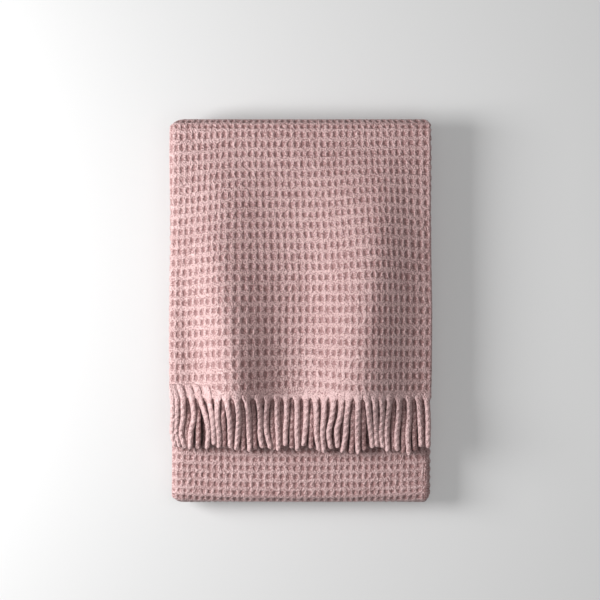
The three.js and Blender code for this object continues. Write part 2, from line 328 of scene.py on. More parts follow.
# Where some columns lie, x and count, on the lowest ply and on the top ply.
LOW_PLY = [
    (155.6, -41),
    (138, -39),
    (90, -33),
    (44, -27),
    (-7, -21),
    (-58, -15),
    (-107, -9),
    (-149, -3.5),
]
TOP_PLY = [(-147.5, 0.8), (-94, 8), (-30, 16), (35.5, 24), (97, 32), (127.5, 36), (155, 39)]
COLUMN_PLACES = [LOW_END + WRAP_X - x for x, count in LOW_PLY]
COLUMN_PLACES += [WRAP_END + x - WRAP_X for x, count in TOP_PLY]
COLUMN_COUNTS = [count for x, count in LOW_PLY + TOP_PLY]

# Where some rows lie: place along the cloth and count.
ROW_TABLE = [
    (0.0, -1.12),
    (-89.3 - FLAP_END_Y, 0),
    (15.3 - FLAP_END_Y, 8),
    (93.5 - FLAP_END_Y, 14),
    (144.3 - FLAP_END_Y, 18),
    (205.8 - FLAP_END_Y, 23),
    (FLAP_END, 24.5),
    (FLAP_END + 1.9, 25),
    (FLAP_END + 6.6, 26),
    (BACK_END, 29.5),
    (BACK_END + BACK + 184.1, 67),
    (SECOND_LAYER_END, 70.77),
    (FRONT_END, 75.07),
    (THIRD_LAYER_END, 115.4),
    (LOW_BACK_END, 119.7),
    (LENGTH_MM, 160.2),
]
ROW_PLACES = [place for place, count in ROW_TABLE]
ROW_COUNTS = [count for place, count in ROW_TABLE]
print("rows of hollows along the cloth:", round(ROW_COUNTS[-1] - ROW_COUNTS[0]))
print("columns on the two outer plies:", round(COLUMN_COUNTS[-1] - COLUMN_COUNTS[0]))

# How far the flap's rows lie nearer to the fringe than in the middle: y, then beside the left
# edge, on the right ridge, at the right edge and on both sides of the middle.
ROW_DRIFT = [
    (-91, 3, 0, 0.5, 4),
    (-52, 3.6, 0, 1, 1.2),
    (-12, 5, 0, 1.5, 0.3),
    (28, 7.5, -2, 2, 0),
    (68, 8.5, -4.5, 0.5, 0),
    (107, 10, -6.1, -1, 0),
    (145, 9.5, -5.3, -1.5, 0),
    (193, 6, -2, -1.5, 0),
    (236, 0, 0, -1, 0),
]

# How far the flap's columns stray to the right at the fringe, from left to right: x and shift.
STRAY = [
    (-162, -5),
    (-102, -5),
    (-70, 0.5),
    (-38, 4.5),
    (0, 6),
    (60, 6.2),
    (90, 8.7),
    (122, 5),
    (158, 2),
]
STRAY_FROM_Y, STRAY_FULL_Y = 205, 10
SAG_MM = 3.0
SAG_END = SECOND_LAYER_END + 12


def column_number(across, x, y, along):
    """Cells counted across, 0 at the first hollow of the top ply: interpolated between the table's
    places and even beyond them. On the flap the columns stray sideways towards the fringe."""
    beyond = np.maximum(across - COLUMN_PLACES[-1], 0) + np.minimum(across - COLUMN_PLACES[0], 0)
    count = np.interp(across, COLUMN_PLACES, COLUMN_COUNTS) + beyond / COLUMN_MM
    stray = smooth_row(x, [place for place, shift in STRAY], [shift for place, shift in STRAY])
    stray = stray * smooth_step(y, STRAY_FROM_Y, STRAY_FULL_Y) * (along < FLAP_END)
    return count - stray / COLUMN_MM


def bell(x, crest, foot):
    """Half a cosine from 1 at the crest to 0 at the foot on either side."""
    return (1 + np.cos(np.pi * np.clip(np.abs(x - crest) / foot, 0, 1))) / 2


def row_drift(x, y):
    """How far a row of the flap lies nearer to the fringe than in the middle: four profiles
    across, each with its own size along the flap from the table."""
    ys = [row[0] for row in ROW_DRIFT]
    left, ridge, right, sides = [
        smooth_row(y, ys, [row[i] for row in ROW_DRIFT]) for i in (1, 2, 3, 4)
    ]
    drift = left * bell(x, -168, 104) + ridge * bell(x, 96, 76) + right * smooth_step(x, 100, 155)
    return drift + sides * (1 - bell(x, -6, 82))


def row_number(along, x, y):
    """Cells counted along, 0 at the first hollow beside the fringe. The place is shifted by the
    drift on the flap and, on the layer below, by a sag that grows with the square of x."""
    sag = SAG_MM * (x / 150) ** 2
    shift = np.where(along < FLAP_END, row_drift(x, y), 0)
    shift = np.where((along > BACK_END) & (along < SAG_END), sag, shift)
    return np.interp(along + shift, ROW_PLACES, ROW_COUNTS)


# %% [markdown]
# ## Hollows and unevenness
# The hollows could be a bump in the material, or a displacement modifier with a texture. Here they
# are in the mesh itself, because they show on the pile's edges and have to be in its exported
# shape. A hollow is a smooth bump turned upside down. Each cell gets its own small change of place,
# size and depth from a table of chance numbers with a fixed seed, as soft yarn would give it. A
# second, wider unevenness comes from a soft noise, also from a fixed table.

# %% The relief
DEPTH = 1.55
FACE_SINK = 0.22
HALF_HOLLOW = 0.32
SELVEDGE = (1.5, 4)
HIDDEN_BAND = (10, 14)
LEFT_BAND = (8, 14)
# Two kinds of unevenness: height, size of its lumps and start in the noise table.
UNEVEN = [(0.12, 23, 0), (0.10, 3.1, 40)]
CELLS = 256
LATTICE = 128
chance = np.random.default_rng(11)
CELL_CHANCE = chance.uniform(-1, 1, (5, CELLS, CELLS))
NOISE_TABLE = chance.uniform(-1, 1, (LATTICE, LATTICE))
print("hollows are", DEPTH, "mm deep, in a cloth of", CLOTH, "mm")


def soft_noise(a, b, size):
    """Chance numbers on a square lattice of the given size, blended between its corners."""
    a, b = a / size, b / size
    i, j = np.floor(a).astype(int), np.floor(b).astype(int)
    s, t = smooth_step(a - i, 0, 1), smooth_step(b - j, 0, 1)

    def corner(di, dj):
        return NOISE_TABLE[(i + di) % LATTICE, (j + dj) % LATTICE]

    near = corner(0, 0) * (1 - s) + corner(1, 0) * s
    far = corner(0, 1) * (1 - s) + corner(1, 1) * s
    return near * (1 - t) + far * t


def hollow(column, row):
    """Share of the full depth. The hollow is an oval: as wide as its cell in the middle, narrower
    by the root of one less a power of the way to its upper or lower end. Across, it is half a
    cosine deep from rib to rib, and its ends close it with one less the fourth power."""
    i, j = np.round(column).astype(int), np.round(row).astype(int)
    own = CELL_CHANCE[:, i % CELLS, j % CELLS]
    b = np.clip(np.abs(row - j - 0.04 * own[1]) / (HALF_HOLLOW * (1 + 0.08 * own[3])), 0, 1)
    wide = 0.5 * np.sqrt(1 - b**2.2) + 0.001
    a = np.clip(np.abs(column - i - 0.04 * own[0]) * (1 + 0.08 * own[2]) / wide, 0, 1)
    return (1 + 0.12 * own[4]) * (1 + np.cos(np.pi * a)) / 2 * (1 - b**4)


def rib(column, row):
    """Share of painted highlight on the raised parts: the long floats of the ribs beside each
    hollow, cosines of the column and row numbers, and a little less of it on the bridges between
    two rows."""
    beside = (1 - np.cos(2 * np.pi * column)) / 2
    middle = (1 + np.cos(2 * np.pi * row)) / 2
    return beside**1.5 * middle + 0.6 * (1 - middle) ** 2


def leftmost(x):
    """1 beside the flap's left edge, where the strands' roots start higher and slant, 0 further
    right."""
    return 1 - smooth_step(x, -118, -94)


def relief(across, along):
    """How deep the cloth's face lies below the solid's, and its painted light: 0.5 where it is
    plain, painted shade down to near 0 in the hollows and painted highlight up to 0.8 on the ribs.
    The waves of the weave fade out in the band beside the fringe, at the hidden end and along both
    selvedges. At the left the band is lower by most of a hollow's depth, which makes room for the
    slanting roots."""
    x, y = np.moveaxis(cloth_point(across, along, CLOTH / 2), -1, 0)[:2]
    column = column_number(across, x, y, along)
    row = row_number(along, x, y)
    slanting = leftmost(x) * (along < FLAP_END)
    waves = smooth_step(row - slanting, -0.85, -0.5)
    waves = waves * smooth_step(LENGTH_MM - along, *HIDDEN_BAND)
    waves = waves * smooth_step(across, *SELVEDGE) * smooth_step(WIDTH_MM - across, *SELVEDGE)
    share = hollow(column, row) * waves
    share = np.maximum(share, 0.8 * slanting * (1 - smooth_step(along, *LEFT_BAND)))
    uneven = sum(high * soft_noise(across + start, along, size) for high, size, start in UNEVEN)
    # painted shade darkens the hollows, and painted highlight lightens the ribs and the bridges
    painted_weave_light = 0.5 - (0.03 + 0.55 * share**0.65 - 0.3 * rib(column, row)) * waves
    return DEPTH * share + FACE_SINK + uneven, painted_weave_light


# %% [markdown]
# ## From arrays to a mesh
# A grid of points becomes a mesh by joining each point to its neighbours. The cloth and the ropes
# are closed grids: one direction comes back to its start, and a lid of quads shuts either end.
# Every mesh gets a UV map that holds its place in the flat cloth or along its rope, so that a
# pattern can follow the surface round its folds and bends.

# %% Mesh making
def grid_quads(number):
    """Corner numbers of the quads of a grid, from the grid of its points' numbers."""
    corners = [number[:-1, :-1], number[:-1, 1:], number[1:, 1:], number[1:, :-1]]
    return np.stack(corners, axis=-1).reshape(-1, 4)


def closed_quads(rows, columns):
    """Quads of a grid whose last column joins its first, with a lid at each end. A lid pairs the
    points that lie opposite each other, counted from both ends of the row."""
    number = np.arange(rows * columns).reshape(rows, columns)
    side = grid_quads(np.hstack([number, number[:, :1]]))
    half = columns // 2
    pair = np.stack([np.arange(half), columns - 1 - np.arange(half)], axis=-1)
    lid = np.hstack([pair[:-1], pair[1:, ::-1]])
    return np.vstack([side, lid[:, ::-1], (rows - 1) * columns + lid])


def make_piece(name, points, quads, uv, painted_weave_light=None):
    """A smooth mesh object in metres from points in millimetres."""
    mesh = bpy.data.meshes.new(name)
    mesh.from_pydata((points.reshape(-1, 3) / 1000).tolist(), [], quads.tolist())
    corner_vertex = np.empty(len(mesh.loops), np.int32)
    mesh.loops.foreach_get("vertex_index", corner_vertex)
    layer = mesh.uv_layers.new(name="flat_cloth")
    layer.data.foreach_set("uv", (uv.reshape(-1, 2)[corner_vertex]).ravel().astype(np.float32))
    # the weave's painted shade and highlight, kept for the material
    if painted_weave_light is not None:
        attribute = mesh.attributes.new("painted_weave_light", "FLOAT", "POINT")
        attribute.data.foreach_set("value", painted_weave_light.ravel().astype(np.float32))
    mesh.polygons.foreach_set("use_smooth", np.ones(len(mesh.polygons), bool))
    mesh.update()
    piece = bpy.data.objects.new(name, mesh)
    bpy.context.scene.collection.objects.link(piece)
    print(name, "has", 2 * len(quads), "triangles")
    return piece


# %% [markdown]
# ## The visible face
# A hollow needs some fifty points, and most of the cloth lies hidden between the plies. So only the
# outside of the pile gets such a fine grid, as patches of the cloth's face. Each patch is a
# rectangle of the flat cloth, and its border dips into the cloth, so no edge stands open. The rows
# of its grid follow the rows of cells, so that every hollow gets the same number of points. The
# names say where a patch shows: the flap and back fold, the front, the low back fold, and strips on
# the left wrap and on the tight right fold, numbered by layer.

# %% Patches of the face
EDGE = 4.0
BORDER_OUT = -1.2
FRONT_START = BACK_END + BACK + 84.0
OUTSIDE = (LOW_END - EDGE, TIGHT_END + 2)
LEFT_SIDE = (LOW_END - EDGE, WRAP_END + EDGE)
RIGHT_SIDE = (TOP_END - EDGE, TIGHT_END + 2)
FINE = (7, 8)
COARSE = (6, 7)
PATCHES = [
    ("top", OUTSIDE, (0.0, BACK_END + EDGE), FINE),
    ("front", (0.8, WRAP_END + EDGE), (FRONT_START, FRONT_END + EDGE), FINE),
    ("low_back", OUTSIDE, (THIRD_LAYER_END - EDGE, LOW_BACK_END + EDGE), FINE),
    ("left_2", LEFT_SIDE, (BACK_END + EDGE, FRONT_START), COARSE),
    ("left_3", LEFT_SIDE, (FRONT_END + EDGE, THIRD_LAYER_END - EDGE), COARSE),
    ("left_4", LEFT_SIDE, (LOW_BACK_END + EDGE, LENGTH_MM - 2), COARSE),
    ("right_2", RIGHT_SIDE, (BACK_END + EDGE, THIRD_LAYER_END - EDGE), COARSE),
    ("right_4", RIGHT_SIDE, (LOW_BACK_END + EDGE, LENGTH_MM - 2), COARSE),
]


def face_patch(side, across_range, along_range, cell_grid):
    """One patch: a grid even in row numbers along and in millimetres across, with the given number
    of columns and rows to a cell, raised to the cloth's face less the relief."""
    columns = int(round((across_range[1] - across_range[0]) / COLUMN_MM * cell_grid[0]))
    first, last = np.interp(along_range, ROW_PLACES, ROW_COUNTS)
    rows = int(round((last - first) * cell_grid[1]))
    along = np.interp(np.linspace(first, last, rows), ROW_COUNTS, ROW_PLACES)
    along[0], along[-1] = along_range
    across, along = np.meshgrid(np.linspace(*across_range, columns), along)
    depth, painted_weave_light = relief(across, along)
    out = CLOTH / 2 - depth
    border = np.ones_like(out, bool)
    border[1:-1, 1:-1] = False
    out[border] = BORDER_OUT
    points = cloth_point(across, along, out)
    flat = np.stack([across, along], axis=-1) / 1000
    quads = grid_quads(np.arange(across.size).reshape(across.shape))
    return make_piece("waffle_" + side, points, quads, flat, painted_weave_light)


cloth_faces = [face_patch(*patch) for patch in PATCHES]

# %% [markdown]
# ## The whole cloth under the face
# Below the patches lies the whole sheet, folded the same way, with both of its faces and rounded
# edges. It could be one face with a Solidify modifier, but that folds over itself in turns as tight
# as these, so both faces are worked out. It shows in the gaps between plies and layers and at the
# open edges. Where a patch covers it, its outer face is lowered under the hollows.

# %% The folded sheet
ROUND_EDGE = [0.12, 0.4, 0.8, 1.5]
SHEET_SINK = 0.35
ACROSS_STEPS = [26, 14, 26, 8, 26, 8, 26]
ALONG_STEPS = [34, 14, 24, 14, 14, 14, 14]


def stations(joints, steps, borders):
    """Places along a track: even steps between its joints, two close ones on both sides of every
    border of a patch, and some near either end for its rounding."""
    places = [np.linspace(a, b, n + 1) for a, b, n in zip(joints[:-1], joints[1:], steps)]
    near = np.add.outer([*borders, *ROUND_EDGE], [-2, -0.3, 0.3, 2]).ravel()
    every = np.unique(np.round(np.concatenate(places + [near]), 3))
    every = every[(every >= joints[0]) & (every <= joints[-1])]
    every = every[np.concatenate([[True], np.diff(every) > 0.15])]
    return np.unique(np.concatenate([every, joints[-1] - np.array(ROUND_EDGE)]))


def rounding(place, end):
    """Share of the thickness left near an edge of the sheet: a quarter circle 1.5 mm wide."""
    near = np.clip(np.minimum(place, end - place) / 1.5, 0, 1)
    return np.maximum(np.sqrt(1 - (1 - near) ** 2), 0.03)


def lowered(across, along):
    """How far the outer face is lowered under the patches."""
    low = np.zeros_like(across)
    for side, (a0, a1), (b0, b1), cell_grid in PATCHES:
        inside = np.minimum.reduce([across - a0, a1 - across, along - b0, b1 - along])
        low = np.maximum(low, np.clip(inside / 1.6, 0, 1) * 2.6)
    return low


def ribbon(name, across, along, outer, inner):
    """A length of cloth with two faces: each row of points runs over the outer face and back over
    the inner one, which makes a closed grid."""
    faces = [cloth_point(across, along, outer), cloth_point(across, along, inner)[:, ::-1]]
    points = np.hstack(faces)
    flat = np.stack([across, along], axis=-1) / 1000
    flat = np.hstack([flat, flat[:, ::-1]])
    return make_piece(name, points, closed_quads(*points.shape[:2]), flat)


across_borders = sorted({edge for side, edges, rows, cell_grid in PATCHES for edge in edges})
along_borders = sorted({edge for side, columns, edges, cell_grid in PATCHES for edge in edges})
across_line = stations([0, *width.joints], ACROSS_STEPS, across_borders)
along_line = stations([0, *length.joints], ALONG_STEPS, along_borders)
across, along = np.meshgrid(across_line, along_line)
thin = rounding(across, WIDTH_MM) * rounding(along, LENGTH_MM)
outer = (CLOTH / 2 - SHEET_SINK - lowered(across, along)) * thin
folded_sheet = ribbon("folded_sheet", across, along, outer, -CLOTH / 2 * thin)

# %% [markdown]
# ## The fringe
# The warp ends are gathered in bundles, and each bundle is two smaller ones twisted together, so a
# strand is a rope of two plies. It could be a curve with a round bevel, but a curve has one outline
# for its whole length. Here a rope is a grid rolled up: one direction goes round it, the other
# along it. Its outline is flat at the root, like a tongue on the band, and has two lobes that turn
# as they go further down. Each ply of the folded cloth has its own row of strands. The top row
# follows the ridges and bends most, the others fill its gaps, and where a gap is wide the second
# row comes up into it.

# %% Where the strands lie
# The top row from left to right: where each strand lies across the pile at its root, a third and
# two thirds of the way down and at its tip, and how long it is.
STRANDS = [
    (-157.0, -156.6, -157.4, -154.4, 60.3),
    (-151.9, -151.8, -153.3, -148.5, 60.3),
    (-144.6, -144.3, -146.9, -142.1, 61.6),
    (-134.1, -131.2, -135, -136, 62.8),
    (-124.1, -116.5, -113.2, -114.7, 62.8),
    (-112.6, -109, -106.8, -106.7, 57.9),
    (-101.6, -102, -100.6, -100.4, 61.6),
    (-90.8, -87.1, -86.3, -86, 61.6),
    (-77.6, -75.4, -76.7, -79.5, 64),
    (-66.1, -63.2, -63.2, -62.1, 66.5),
    (-51.6, -49.4, -49.4, -46.8, 61.6),
    (-39.9, -42.1, -41.4, -37, 62.8),
    (-28.3, -28.6, -27.7, -26.7, 65.3),
    (-17.1, -17.2, -18.1, -18.8, 59.1),
    (-4.4, -3.8, -4.3, -3.7, 65.3),
    (7.1, 7, 5.8, 4.1, 59.1),
    (18.4, 19.4, 20.1, 22.8, 65.3),
    (29.3, 28.6, 26.9, 29.2, 67.7),
    (40.7, 38.6, 34.8, 37.8, 62.8),
    (50.5, 48.7, 44.8, 45.4, 61.6),
    (58.9, 56.6, 55.1, 51.8, 67.7),
    (70.5, 69.9, 70.6, 70.9, 69),
    (81.6, 84.1, 86.6, 88.3, 61.6),
    (90.8, 91.8, 93, 94.7, 60.3),
    (99.5, 100.1, 99.4, 101.1, 61.6),
    (109.5, 107.2, 106, 107.5, 66.5),
    (121.2, 120.4, 118.6, 119.4, 65.3),
    (133.7, 133.6, 132.3, 133.3, 70.2),
    (145.4, 146.9, 147.7, 148.7, 60.3),
    (155.6, 156.7, 157.2, 157.2, 61.6),
]
# The rows, one to a ply: whether they lie between the top row's strands, how far they follow its
# bends, and how high they lie above the lowest ones.
ROWS = [
    {"ply": 1, "between": False, "follow": 1.0, "above": 14.2},
    {"ply": 2, "between": True, "follow": 0.6, "above": 7.2},
    {"ply": 3, "between": False, "follow": 0.6, "above": 3.6},
    {"ply": 4, "between": True, "follow": 0.6, "above": 0.0},
]
print("strands in the top row:", len(STRANDS), "of", min(row[4] for row in STRANDS), "mm and more")

# %% [markdown]
# ## How a strand runs
# A strand starts as a tongue on the band, leaves the cloth's end at the height of its ply and of
# the ridge under it, and comes to rest in its row above the layer below. Beside the left edge the
# tongues reach further up and slant. All of that is one middle line to a strand, worked out for a
# whole row at once: strands go along the first axis of the arrays and steps along the second.

# %% Middle lines
STRAND_RADIUS = 3.0
STRAND_FALL = 58.0
SHARES = [0, 0.35, 0.68, 1]
STRIP_GAP = 0.3
STRIP_WIDE = 3
ROOT_Y = FLAP_END_Y - STRIP_GAP - STRIP_WIDE * 0.85
REST_Z = LAYER_Z[1] + STACK / 2 + 0.35 + STRAND_RADIUS
TOP_TONGUE, LEFT_TONGUE, LOW_TONGUE = 9, 8, 5.5
SLANT = 0.3
SWAY = 0.35
TONGUE_LIFT = 0.9
GAP_LIFT = 4.5


def row_paths(between, follow):
    """Places and lengths of one row's strands: the top row's own, or means of its neighbours."""
    table = np.array(STRANDS)
    if between:
        table = (table[1:] + table[:-1]) / 2
    places = table[:, :1] + follow * (table[:, :4] - table[:, :1])
    return places, table[:, 4]


def strand_course(ply, between, follow, above, steps=60):
    """The middle lines of one row. Sideways they bend by the table and sway by a sine. In height
    they start on the band and fall on smooth steps to the row's own height, and the second row
    rises again where the gap above it is wide. The sides of a strand lean with the ridge that its
    root lies on, by that ridge's slope times what is left of the fall."""
    places, lengths = row_paths(between, follow)
    order = np.arange(len(places))[:, None, None]
    reach = lengths[:, None, None]
    slanting = leftmost(places[:, :1, None])
    before = (TOP_TONGUE + LEFT_TONGUE * slanting) if ply == 1 else LOW_TONGUE
    down = -before + (reach + before) * np.linspace(0, 1, steps)[None, :, None]
    t = np.clip(down / reach, 0, 1)
    x = np.stack([smooth_row(t[i, :, 0], SHARES, place) for i, place in enumerate(places)])
    x = x[:, :, None] + SLANT * slanting * np.minimum(down, 0)
    x = x + SWAY * np.sin(2 * np.pi * (1.3 * t + 0.37 * order)) * t
    y = ROOT_Y - down
    root_z = LAYER_Z[0] + (2.5 - ply) * PLY_PITCH
    drop = REST_Z + above - root_z
    on_flap = np.maximum(y, FLAP_END_Y)
    slope = flap_height(x + 0.5, on_flap) - flap_height(x - 0.5, on_flap)
    fall = 1 - smooth_step(down, 0, STRAND_FALL)
    z = root_z + flap_height(x, on_flap) * fall
    z = z + drop * smooth_step(down, -1, 13) + TONGUE_LIFT * slanting * (ply == 1) * fall
    if ply == 2:
        top_row = np.array(STRANDS)[:, 1:3].mean(axis=1)
        gap = np.abs(places[:, 1:3].mean(axis=1)[:, None] - top_row).min(axis=1)[:, None, None]
        z = z + GAP_LIFT * np.clip((gap - 3.5) / 2.5, 0, 1) * smooth_step(down, 6, 24)
    return (x, y, z), slope * fall, (order, reach, slanting, before, down, t)


# %% [markdown]
# ## How a strand is round
# Two plies that are twisted together touch along a line, so the rope's outline has two lobes with a
# groove on either side. Seen from outside, the grooves wind round it. At the root the strand is
# still a flat bundle, and at its tip it thins to a blunt end.

# %% Ropes
STRAND_FAT = 1.27
TWIST_MM = 9.0
LOBE_DEPTH = 0.13
TIP_THIN = 0.5
ROOT_WIDE = 0.6
ROOT_FLAT = 0.36
SIDE_LIMITS = (-161.8, 161.4)


def strand_row(row, around=14):
    """All strands of one row as an array: strand, step along, point round. The outline is an
    ellipse, wide and flat at the root. Further on, its radius is less by the lobe's depth times
    one less a power of the cosine of the twist."""
    ply = row["ply"]
    (x, y, z), lean, (order, reach, slanting, before, down, t) = strand_course(**row)
    turn = np.linspace(-0.5 * np.pi, 1.5 * np.pi, around, endpoint=False)[None, None, :]
    size = 1 - 0.10 * smooth_step(t, 0.55, 1) - TIP_THIN * smooth_step(t, 0.965, 1) ** 2
    wide = 1 + (ROOT_WIDE - 0.42 * slanting) * (1 - smooth_step(down, -1.5, 4.5))
    wide = wide * (1 - 0.35 * smooth_step(down, 3 - before, -before))
    tall = ROOT_FLAT + (1 - ROOT_FLAT) * smooth_step(down, -6.5 - 7 * slanting, 6)
    start = np.pi * (0.61 * order + 0.3 * ply)
    twist = turn - start - np.pi * reach * t / TWIST_MM
    lobe = 1 - smooth_step(down, 0, 9) * LOBE_DEPTH * (1 - np.abs(np.cos(twist)) ** 1.3)
    radius = STRAND_RADIUS * STRAND_FAT * size * lobe
    px = np.clip(x + radius * wide * np.cos(turn), *SIDE_LIMITS)
    pz = z + radius * (tall * np.sin(turn) + lean * wide * np.cos(turn))
    py = np.broadcast_to(y, px.shape)
    round_it = np.broadcast_to((turn - start) * STRAND_RADIUS, px.shape)
    along_it = np.broadcast_to(reach * t, px.shape)
    return np.stack([px, py, pz], axis=-1), np.stack([round_it, along_it], axis=-1) / 1000


def strand_piece(row):
    """One mesh for a row of strands. Every strand is a closed grid. Its quads are turned over,
    because it goes round the other way, and its numbers follow on those of the strand before."""
    points, flat = strand_row(row)
    count, steps, around = points.shape[:3]
    one = closed_quads(steps, around)[:, ::-1]
    quads = (one[None] + (steps * around) * np.arange(count)[:, None, None]).reshape(-1, 4)
    return make_piece("fringe_row_%d" % row["ply"], points, quads, flat)


strand_rows = [strand_piece(row) for row in ROWS]

# %% [markdown]
# ## The roots of the fringe
# The strands leave a narrow strip of the same cloth, folded with its end. It is a short ribbon
# along the same tracks, with both faces, thin enough to hide inside the roots and under the band.

# %% Strip at the roots
STRIP_ALONG = [-3.1, -2.6, -1.5, 0.0, 1.6, 2.6]
STRIP_THICK = np.array([0.35, 0.75, 0.85, 0.85, 0.8, 0.5])[:, None]
across, along = np.meshgrid(across_line, STRIP_ALONG)
half_thick = CLOTH / 2 * (rounding(across, WIDTH_MM) * STRIP_THICK)
root_strip = ribbon("fringe_root_strip", across, along, half_thick, -half_thick)


# %% [markdown]
# ## Writing shader maths as sums
# A material is a graph of nodes. It could be drawn by hand, but a formula is easier to read and to
# change. So a socket is wrapped in a small class whose plus, minus and times each add one Math
# node, and any other node comes from one method.

# %% A small shader language
class Value:
    """A number that changes over the surface: one output socket of a node."""

    def __init__(self, recipe, socket):
        self.recipe, self.socket = recipe, socket

    def maths(self, operation, first, second):
        node = self.recipe.node("ShaderNodeMath", {"operation": operation}, {0: first, 1: second})
        return Value(self.recipe, node.outputs[0])

    def __add__(self, other):
        return self.maths("ADD", self, other)

    def __radd__(self, other):
        return self.maths("ADD", other, self)

    def __sub__(self, other):
        return self.maths("SUBTRACT", self, other)

    def __rsub__(self, other):
        return self.maths("SUBTRACT", other, self)

    def __mul__(self, other):
        return self.maths("MULTIPLY", self, other)

    def __rmul__(self, other):
        return self.maths("MULTIPLY", other, self)

    def sine(self):
        return self.maths("SINE", self, 0.0)


class Recipe:
    """A material and the nodes that make it."""

    def __init__(self, name):
        self.material = bpy.data.materials.new(name)
        self.material.use_nodes = True
        self.tree = self.material.node_tree
        self.shader = self.tree.nodes["Principled BSDF"]

    def node(self, kind, settings=None, inputs=None):
        """Adds a node, sets its settings, then fills its sockets with values or links."""
        node = self.tree.nodes.new(kind)
        for key, setting in (settings or {}).items():
            setattr(node, key, setting)
        for key, given in (inputs or {}).items():
            self.fill(node.inputs[key], given)
        return node

    def fill(self, socket, given):
        """Links a socket to another one, or sets its value."""
        given = given.socket if isinstance(given, Value) else given
        if isinstance(given, bpy.types.NodeSocket):
            self.tree.links.new(given, socket)
        else:
            socket.default_value = given

    def noise(self, place, scale, detail):
        """A soft noise between 0 and 1 with the given number of lumps to a metre."""
        given = {"Vector": place, "Scale": scale, "Detail": detail}
        return Value(self, self.node("ShaderNodeTexNoise", {}, given).outputs["Fac"])

    def mix(self, share, first, second):
        """The first colour at a share of 0, the second at 1. Its sockets 6 and 7 are colours."""
        given = {"Factor": share, 6: first, 7: second}
        return self.node("ShaderNodeMix", {"data_type": "RGBA"}, given).outputs[2]


# %% [markdown]
# ## Dusty pink cotton
# The yarn is soft and loosely spun, and uneven in colour from one length to the next. Its long
# floats are smooth and shine a little, so the slopes that face the window look paler and less pink.
# The hollows and the strands that lie under others are painted deeper, as painted shade for light
# that gets out of them after meeting the pink yarn more than once. The ribs of the weave and the
# top row of strands are painted paler, as painted highlight, and the grooves of each rope are
# painted deeper. A fine bump stands for the single threads, which are far too small for the mesh. A
# photographed texture would carry its own light and folds, so the colour is made from noises that
# are measured in real lengths. The painted shade and highlight of the weave come from the mesh, as
# an attribute that was worked out with the hollows.

# %% Cloth and fringe materials
PINK = (0.482, 0.315, 0.31, 1.0)
PALE_PINK = (0.622, 0.444, 0.439, 1.0)
DEEP_PINK = (0.32, 0.166, 0.161, 1.0)
# how strongly the weave's painted shade and highlight show
PAINTED_WEAVE_CONTRAST = 1.35
# painted light on the ropes: the top row is painted paler, as if lit, and the rows under it deeper,
# as painted shade
ROPE_PAINTED_LIGHT = {"rope": 0.22, "shaded rope": -0.4}
THREAD_BUMP = 0.0026


def soft_cotton(name, kind):
    """Cloth colour: a slow noise and two fine noises, added up, choose between the deep pink at 0,
    the pink at a half and the pale pink at 1. On the woven face the weave's painted shade and
    highlight shift that choice. On the ropes the shift is a sine of the way round less the way
    along. It is high on both plies and low in the grooves between them, and it also goes into the
    bump. In the colour it is painted highlight on the plies and painted shade in the grooves. The
    top row of strands is painted paler and the rows under it deeper, as lit and shaded copies of
    the rope."""
    recipe = Recipe(name)
    place = recipe.node("ShaderNodeTexCoord").outputs["Object"]
    slow = recipe.noise(place, 28.0, 3.0)
    fine = recipe.noise(place, 400.0, 1.0)
    thread = recipe.noise(place, 620.0, 1.0)
    share = (slow - 0.5) * 0.6 + (fine - 0.5) * 0.8 + (thread - 0.5) * 3.2 + 0.5
    height = fine * 0.4 + thread * 0.6
    if kind == "woven":
        # the weave's painted shade and highlight shift the colour
        painted_weave_light = recipe.node("ShaderNodeAttribute", {"attribute_name": "painted_weave_light"})
        share = share + (Value(recipe, painted_weave_light.outputs["Fac"]) - 0.5) * PAINTED_WEAVE_CONTRAST
    if kind in ROPE_PAINTED_LIGHT:
        flat = recipe.node("ShaderNodeUVMap", {"uv_map": "flat_cloth"}).outputs["UV"]
        split = recipe.node("ShaderNodeSeparateXYZ", {}, {"Vector": flat})
        round_it = Value(recipe, split.outputs["X"]) * (2000 / STRAND_RADIUS)
        along_it = Value(recipe, split.outputs["Y"]) * (2000 * np.pi / TWIST_MM)
        # in the colour the twist is painted highlight on the plies and painted shade in the grooves
        # between them
        ridge = (round_it - along_it).sine() * 0.5 + 0.5
        share = share + ridge * 0.36 + ROPE_PAINTED_LIGHT[kind]
        height = height + ridge * 0.16
    pale = recipe.mix(share * 2.0 - 1.0, PINK, PALE_PINK)
    colour = recipe.mix(share * 2.0, DEEP_PINK, pale)
    recipe.fill(recipe.shader.inputs["Base Color"], colour)
    recipe.shader.inputs["Roughness"].default_value = 0.52
    recipe.shader.inputs["Specular IOR Level"].default_value = 1.0
    recipe.shader.inputs["IOR"].default_value = 1.58
    recipe.shader.inputs["Sheen Weight"].default_value = 0.2
    recipe.shader.inputs["Sheen Roughness"].default_value = 0.6
    recipe.shader.inputs["Sheen Tint"].default_value = (1.0, 1.0, 1.0, 1.0)
    given = {"Strength": 1.0, "Distance": THREAD_BUMP, "Height": height}
    bump = recipe.node("ShaderNodeBump", {}, given)
    recipe.fill(recipe.shader.inputs["Normal"], bump.outputs["Normal"])
    print(name, "has", len(recipe.tree.nodes), "nodes")
    return recipe.material


waffle_cotton = soft_cotton("waffle_cotton", "woven")
plain_cotton = soft_cotton("plain_cotton", "plain")
# the lit copy of the rope, painted paler, for the top row and the root strip
rope_cotton = soft_cotton("rope_cotton", "rope")
# painted shade for the rows of strands that lie under the top row
shaded_rope_cotton = soft_cotton("shaded_rope_cotton", "shaded rope")

# %% [markdown]
# ## Dressing the pieces
# Every piece gets its cotton and says that it moves with the blanket, and the solid that it stands
# for is hidden.

